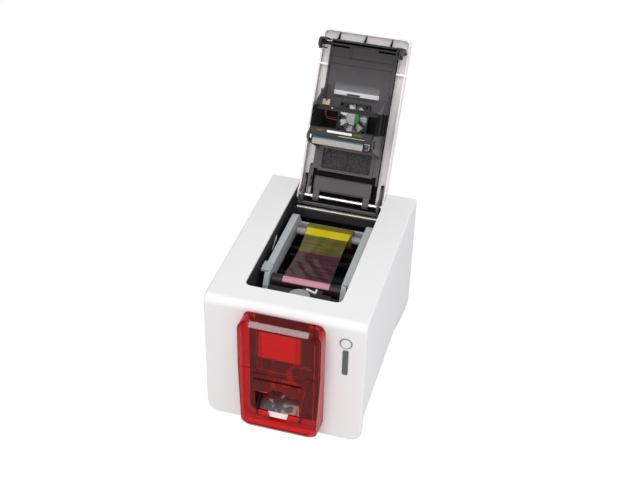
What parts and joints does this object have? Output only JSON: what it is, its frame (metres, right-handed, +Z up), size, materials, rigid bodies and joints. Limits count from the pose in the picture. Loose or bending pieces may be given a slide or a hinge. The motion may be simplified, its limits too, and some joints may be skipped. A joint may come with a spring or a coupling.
{
  "type": "id card printer",
  "caption": "Desktop plastic card printer with its lid open over a lift-out ribbon cassette, and clear red card covers on the front.",
  "frame": {"origin": "middle of the casing's width and depth, on the plane that the feet stand on", "axes": "+Z up, front face with the red covers looking along -Y, +X to the right of someone facing it"},
  "size_m": [0.205, 0.4139, 0.3818],
  "materials": {
    "casing_white": "smooth, slightly glossy white",
    "black_plastic": "fine matt black",
    "rail_grey": "light blue-grey, smooth",
    "clear_red": "transparent deep red, polished",
    "steel": "bright turned steel",
    "rubber_black": "matt rubber",
    "board_green": "circuit board lacquer",
    "board_teal": "circuit board lacquer",
    "socket_steel": "plated sheet",
    "card_white": "glossy white plastic",
    "smoke_clear": "translucent grey",
    "ring_metal": "polished",
    "light_grey": "smoked light window",
    "film_yellow": "glossy dye film",
    "film_magenta": "glossy dye film",
    "film_clear": "thin translucent dye film",
    "core_grey": "light grey",
    "aluminium": "extruded, satin",
    "white_nylon": "plain",
    "connector_cream": "plain",
    "belt_rubber": "toothed rubber"
  },
  "bodies": {
    "printer": {"outer_casing": "casing_white", "base_tray": "black_plastic", "rubber_feet": "rubber_black", "rear_panel": "casing_white", "main_board": "board_green", "power_inlet": "black_plastic", "usb_socket": "socket_steel", "network_socket": "socket_steel", "bay_tub": "black_plastic", "rear_cross_beam": "black_plastic", "guide_strip": "socket_steel", "hinge_shaft": "steel", "wall_spring": "steel", "feeder_housing": "black_plastic", "card_stack": "card_white", "feeder_hinge_pins": "steel", "gauge_dial": "smoke_clear", "output_cover": "clear_red", "output_hopper": "black_plastic", "printed_card": "card_white", "button_ring": "ring_metal", "button_board": "board_green", "status_light": "light_grey", "drive_motor": "steel", "motor_bracket": "steel", "drive_belt": "belt_rubber"},
    "feeder_cover": {"feeder_cover": "clear_red"},
    "button": {"control_button": "casing_white"},
    "card_gauge": {"gauge_lever": "white_nylon"},
    "cassette": {"cassette_frame": "rail_grey", "cassette_front_bar": "rail_grey", "ribbon_film": "film_clear"},
    "supply_spool": {"supply_core": "core_grey", "supply_roll": "film_yellow"},
    "takeup_spool": {"takeup_core": "black_plastic", "takeup_roll": "film_magenta"},
    "lid": {"lid_shell": "casing_white", "lid_front_cap": "casing_white", "lid_frame": "black_plastic", "window_panel": "black_plastic", "sensor_plate": "aluminium", "tie_bar": "black_plastic", "fan_frame": "black_plastic", "fan_plug": "connector_cream", "fan_lead": "black_plastic"},
    "print_head": {"head_carrier": "black_plastic", "head_heat_sink": "aluminium", "head_board": "board_teal"},
    "fan": {"fan_rotor": "black_plastic"},
    "latch": {"lid_latch": "black_plastic"},
    "drive_roller": {"drive_roller": "rubber_black", "drive_gear": "white_nylon"},
    "platen_roller": {"platen_roller": "rubber_black"},
    "rear_roller": {"rear_roller": "rubber_black"},
    "feed_roller": {"feed_roller": "rubber_black"},
    "front_pinch": {"front_pinch_roller": "rubber_black"},
    "rear_pinch": {"rear_pinch_roller": "rubber_black"},
    "motor_shaft": {"motor_pinion": "steel"}
  },
  "joints": [
    {"name": "lid_hinge", "type": "hinge", "parent": "printer", "child": "lid", "pos_m": [0, 0.1245, 0.182], "axis": [-1, 0, 0], "range_deg": [-120, 0], "deforming": ["ribbon_film"]},
    {"name": "feeder_cover_hinge", "type": "hinge", "parent": "printer", "child": "feeder_cover", "pos_m": [0, -0.1453, 0.183], "axis": [-1, 0, 0], "range_deg": [0, 85]},
    {"name": "button_press", "type": "slide", "parent": "printer", "child": "button", "axis": [0, 1, 0], "range_m": [0, 0.0012], "stiffness_N_per_m": 400, "springref_m": -0.001},
    {"name": "gauge_slide", "type": "slide", "parent": "printer", "child": "card_gauge", "axis": [1, 0, 0], "range_m": [-0.004, 0.004]},
    {"name": "cassette_lift", "type": "slide", "parent": "printer", "child": "cassette", "axis": [0, 0, 1], "range_m": [0, 0.08]},
    {"name": "supply_spin", "type": "hinge", "parent": "cassette", "child": "supply_spool", "pos_m": [0, 0.072, 0.158], "axis": [1, 0, 0], "continuous": true},
    {"name": "takeup_spin", "type": "hinge", "parent": "cassette", "child": "takeup_spool", "pos_m": [0, -0.04, 0.158], "axis": [1, 0, 0], "continuous": true},
    {"name": "head_pivot", "type": "hinge", "parent": "lid", "child": "print_head", "pos_m": [0, 0.11367, 0.28525], "axis": [1, 0, 0], "range_deg": [0, 4], "stiffness_Nm_per_rad": 3, "springref_deg": -1.15},
    {"name": "fan_spin", "type": "hinge", "parent": "lid", "child": "fan", "pos_m": [0.001, 0.17494, 0.28336], "axis": [0, 0.866, -0.5], "continuous": true},
    {"name": "latch_turn", "type": "hinge", "parent": "lid", "child": "latch", "pos_m": [0, 0.22788, 0.36307], "axis": [-1, 0, 0], "range_deg": [0, 12], "stiffness_Nm_per_rad": 0.2, "springref_deg": -2.86},
    {"name": "drive_roller_spin", "type": "hinge", "parent": "printer", "child": "drive_roller", "pos_m": [0, -0.03, 0.102], "axis": [1, 0, 0], "continuous": true},
    {"name": "platen_spin", "type": "hinge", "parent": "printer", "child": "platen_roller", "pos_m": [0, 0.0475, 0.102], "axis": [1, 0, 0], "continuous": true},
    {"name": "rear_roller_spin", "type": "hinge", "parent": "printer", "child": "rear_roller", "pos_m": [0, 0.088, 0.102], "axis": [1, 0, 0], "continuous": true},
    {"name": "feed_roller_spin", "type": "hinge", "parent": "printer", "child": "feed_roller", "pos_m": [0, -0.095, 0.124], "axis": [1, 0, 0], "continuous": true},
    {"name": "front_pinch_spin", "type": "hinge", "parent": "printer", "child": "front_pinch", "pos_m": [0, -0.03, 0.11546], "axis": [1, 0, 0], "continuous": true},
    {"name": "rear_pinch_spin", "type": "hinge", "parent": "printer", "child": "rear_pinch", "pos_m": [0, 0.088, 0.11546], "axis": [1, 0, 0], "continuous": true},
    {"name": "motor_spin", "type": "hinge", "parent": "printer", "child": "motor_shaft", "pos_m": [0, -0.058, 0.102], "axis": [1, 0, 0], "continuous": true}
  ],
  "couplings": [
    {"joint": "takeup_spin", "follows": "supply_spin", "ratio": 1.3265},
    {"joint": "platen_spin", "follows": "drive_roller_spin", "ratio": 1},
    {"joint": "rear_roller_spin", "follows": "drive_roller_spin", "ratio": 1},
    {"joint": "feed_roller_spin", "follows": "drive_roller_spin", "ratio": 1},
    {"joint": "front_pinch_spin", "follows": "drive_roller_spin", "ratio": -1.5714},
    {"joint": "rear_pinch_spin", "follows": "drive_roller_spin", "ratio": -1.5714},
    {"joint": "motor_spin", "follows": "drive_roller_spin", "ratio": -3}
  ]
}
